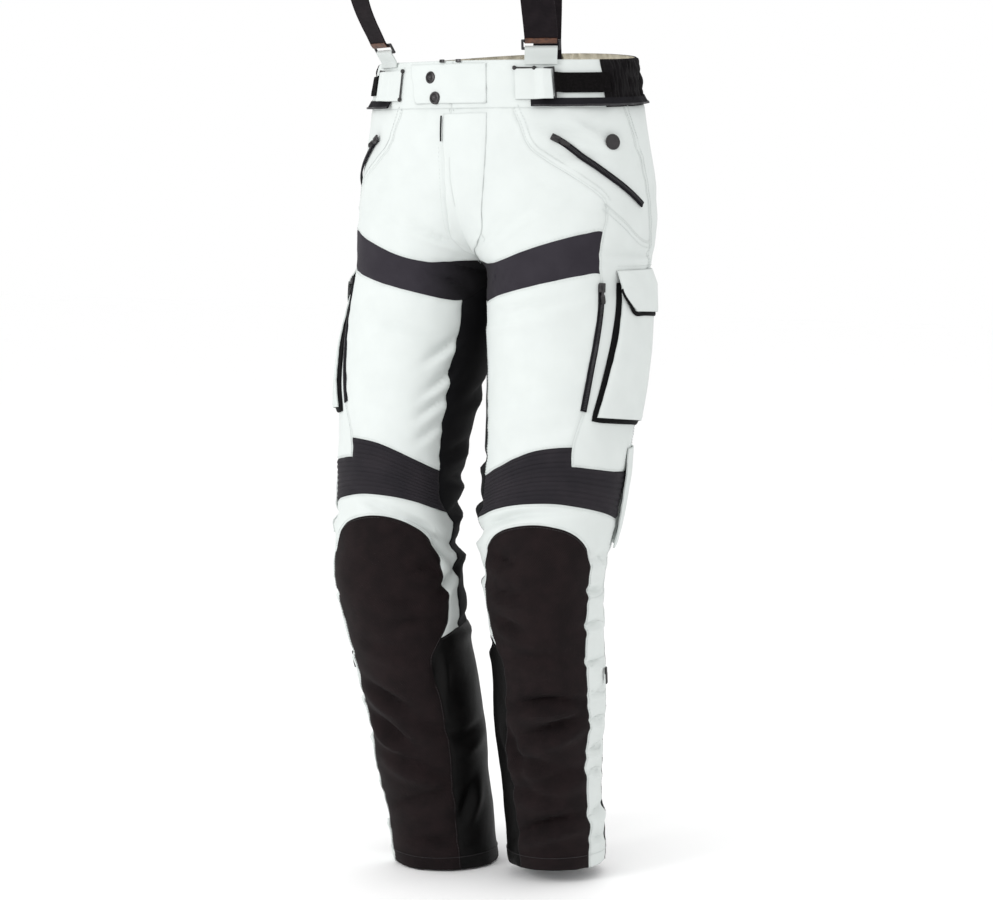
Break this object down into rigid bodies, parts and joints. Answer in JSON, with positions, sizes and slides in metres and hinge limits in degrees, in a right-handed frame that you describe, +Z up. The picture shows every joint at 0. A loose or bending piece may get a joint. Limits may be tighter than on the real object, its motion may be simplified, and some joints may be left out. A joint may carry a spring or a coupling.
{
  "type": "motorcycle trousers",
  "caption": "White and black textile motorcycle trousers in worn shape, with stretch panels, shin overlays, cargo pockets, zips and elastic braces.",
  "frame": {"origin": "centre of the waist opening at half the waistband's height in front, where the wearer holds the garment up", "axes": "+Z up, -Y the garment's front, +X the wearer's left"},
  "size_m": [0.4415, 0.3359, 1.4659],
  "materials": {
    "white_cloth": "matt coated polyester laminate",
    "grey_stretch": "matt dark grey stretch cloth",
    "black_stretch": "matt black stretch cloth",
    "black_shin": "black abrasion cloth with a light ripstop",
    "black_leather": "soft satin black leather",
    "black_elastic": "ribbed black elastic",
    "black_tape": "black zip tape and coil",
    "black_plastic": "matt moulded",
    "black_metal": "satin black enamel"
  },
  "bodies": {
    "trousers": {"right_front_panel": "white_cloth", "right_hip_panel": "white_cloth", "right_side_panel": "white_cloth", "right_thigh_band": "grey_stretch", "right_thigh_panel": "white_cloth", "right_inner_thigh": "black_stretch", "right_rib_panel": "grey_stretch", "right_knee_yoke": "white_cloth", "right_shin_panel": "black_shin", "right_lower_side": "white_cloth", "right_calf_panel": "black_leather", "right_back_panel": "white_cloth", "right_back_lower": "black_stretch", "right_band_front": "white_cloth", "right_pocket_front": "white_cloth", "right_pocket_bellows": "black_stretch", "right_pocket_flap": "white_cloth", "right_back_knee_tab": "white_cloth", "right_hip_zip": "black_tape", "right_vent_zip": "black_tape", "right_adjuster_tab": "white_cloth", "right_adjuster_strap": "black_elastic", "right_adjuster_ring": "black_plastic", "right_brace": "black_elastic", "right_brace_ring": "black_plastic", "right_brace_loop": "white_cloth", "left_front_panel": "white_cloth", "left_hip_panel": "white_cloth", "left_side_panel": "white_cloth", "left_thigh_band": "grey_stretch", "left_thigh_panel": "white_cloth", "left_inner_thigh": "black_stretch", "left_rib_panel": "grey_stretch", "left_knee_yoke": "white_cloth", "left_shin_panel": "black_shin", "left_lower_side": "white_cloth", "left_calf_panel": "black_leather", "left_back_panel": "white_cloth", "left_back_lower": "black_stretch", "left_band_front": "white_cloth", "left_pocket_front": "white_cloth", "left_pocket_bellows": "black_stretch", "left_pocket_flap": "white_cloth", "left_back_knee_tab": "white_cloth", "left_hip_zip": "black_tape", "left_vent_zip": "black_tape", "left_adjuster_tab": "white_cloth", "left_adjuster_strap": "black_elastic", "left_adjuster_ring": "black_plastic", "left_brace": "black_elastic", "left_brace_ring": "black_plastic", "left_brace_loop": "white_cloth", "band_elastic": "black_elastic", "closure_tab": "white_cloth", "fly_placket": "white_cloth", "jacket_zip_tape": "black_tape"},
    "right_hip_zip_pull_body": {"right_hip_zip_pull": "black_metal"},
    "right_vent_zip_pull_body": {"right_vent_zip_pull": "black_metal"},
    "left_hip_zip_pull_body": {"left_hip_zip_pull": "black_metal"},
    "left_vent_zip_pull_body": {"left_vent_zip_pull": "black_metal"}
  },
  "joints": [
    {"name": "right_hip_zip_pull_hinge", "type": "hinge", "parent": "trousers", "child": "right_hip_zip_pull_body", "pos_m": [-0.14136, -0.10058, -0.0699], "axis": [-0.3302, 0.3317, 0.8837], "range_deg": [0, 80]},
    {"name": "right_vent_zip_pull_hinge", "type": "hinge", "parent": "trousers", "child": "right_vent_zip_pull_body", "pos_m": [-0.18869, -0.08681, -0.26018], "axis": [-0.5508, 0.7746, -0.3108], "range_deg": [0, 80]},
    {"name": "left_hip_zip_pull_hinge", "type": "hinge", "parent": "trousers", "child": "left_hip_zip_pull_body", "pos_m": [0.14016, -0.10159, -0.06999], "axis": [-0.3485, -0.3439, -0.8719], "range_deg": [0, 80]},
    {"name": "left_vent_zip_pull_hinge", "type": "hinge", "parent": "trousers", "child": "left_vent_zip_pull_body", "pos_m": [0.19194, -0.07908, -0.26121], "axis": [-0.4993, -0.8646, -0.0563], "range_deg": [0, 80]}
  ]
}
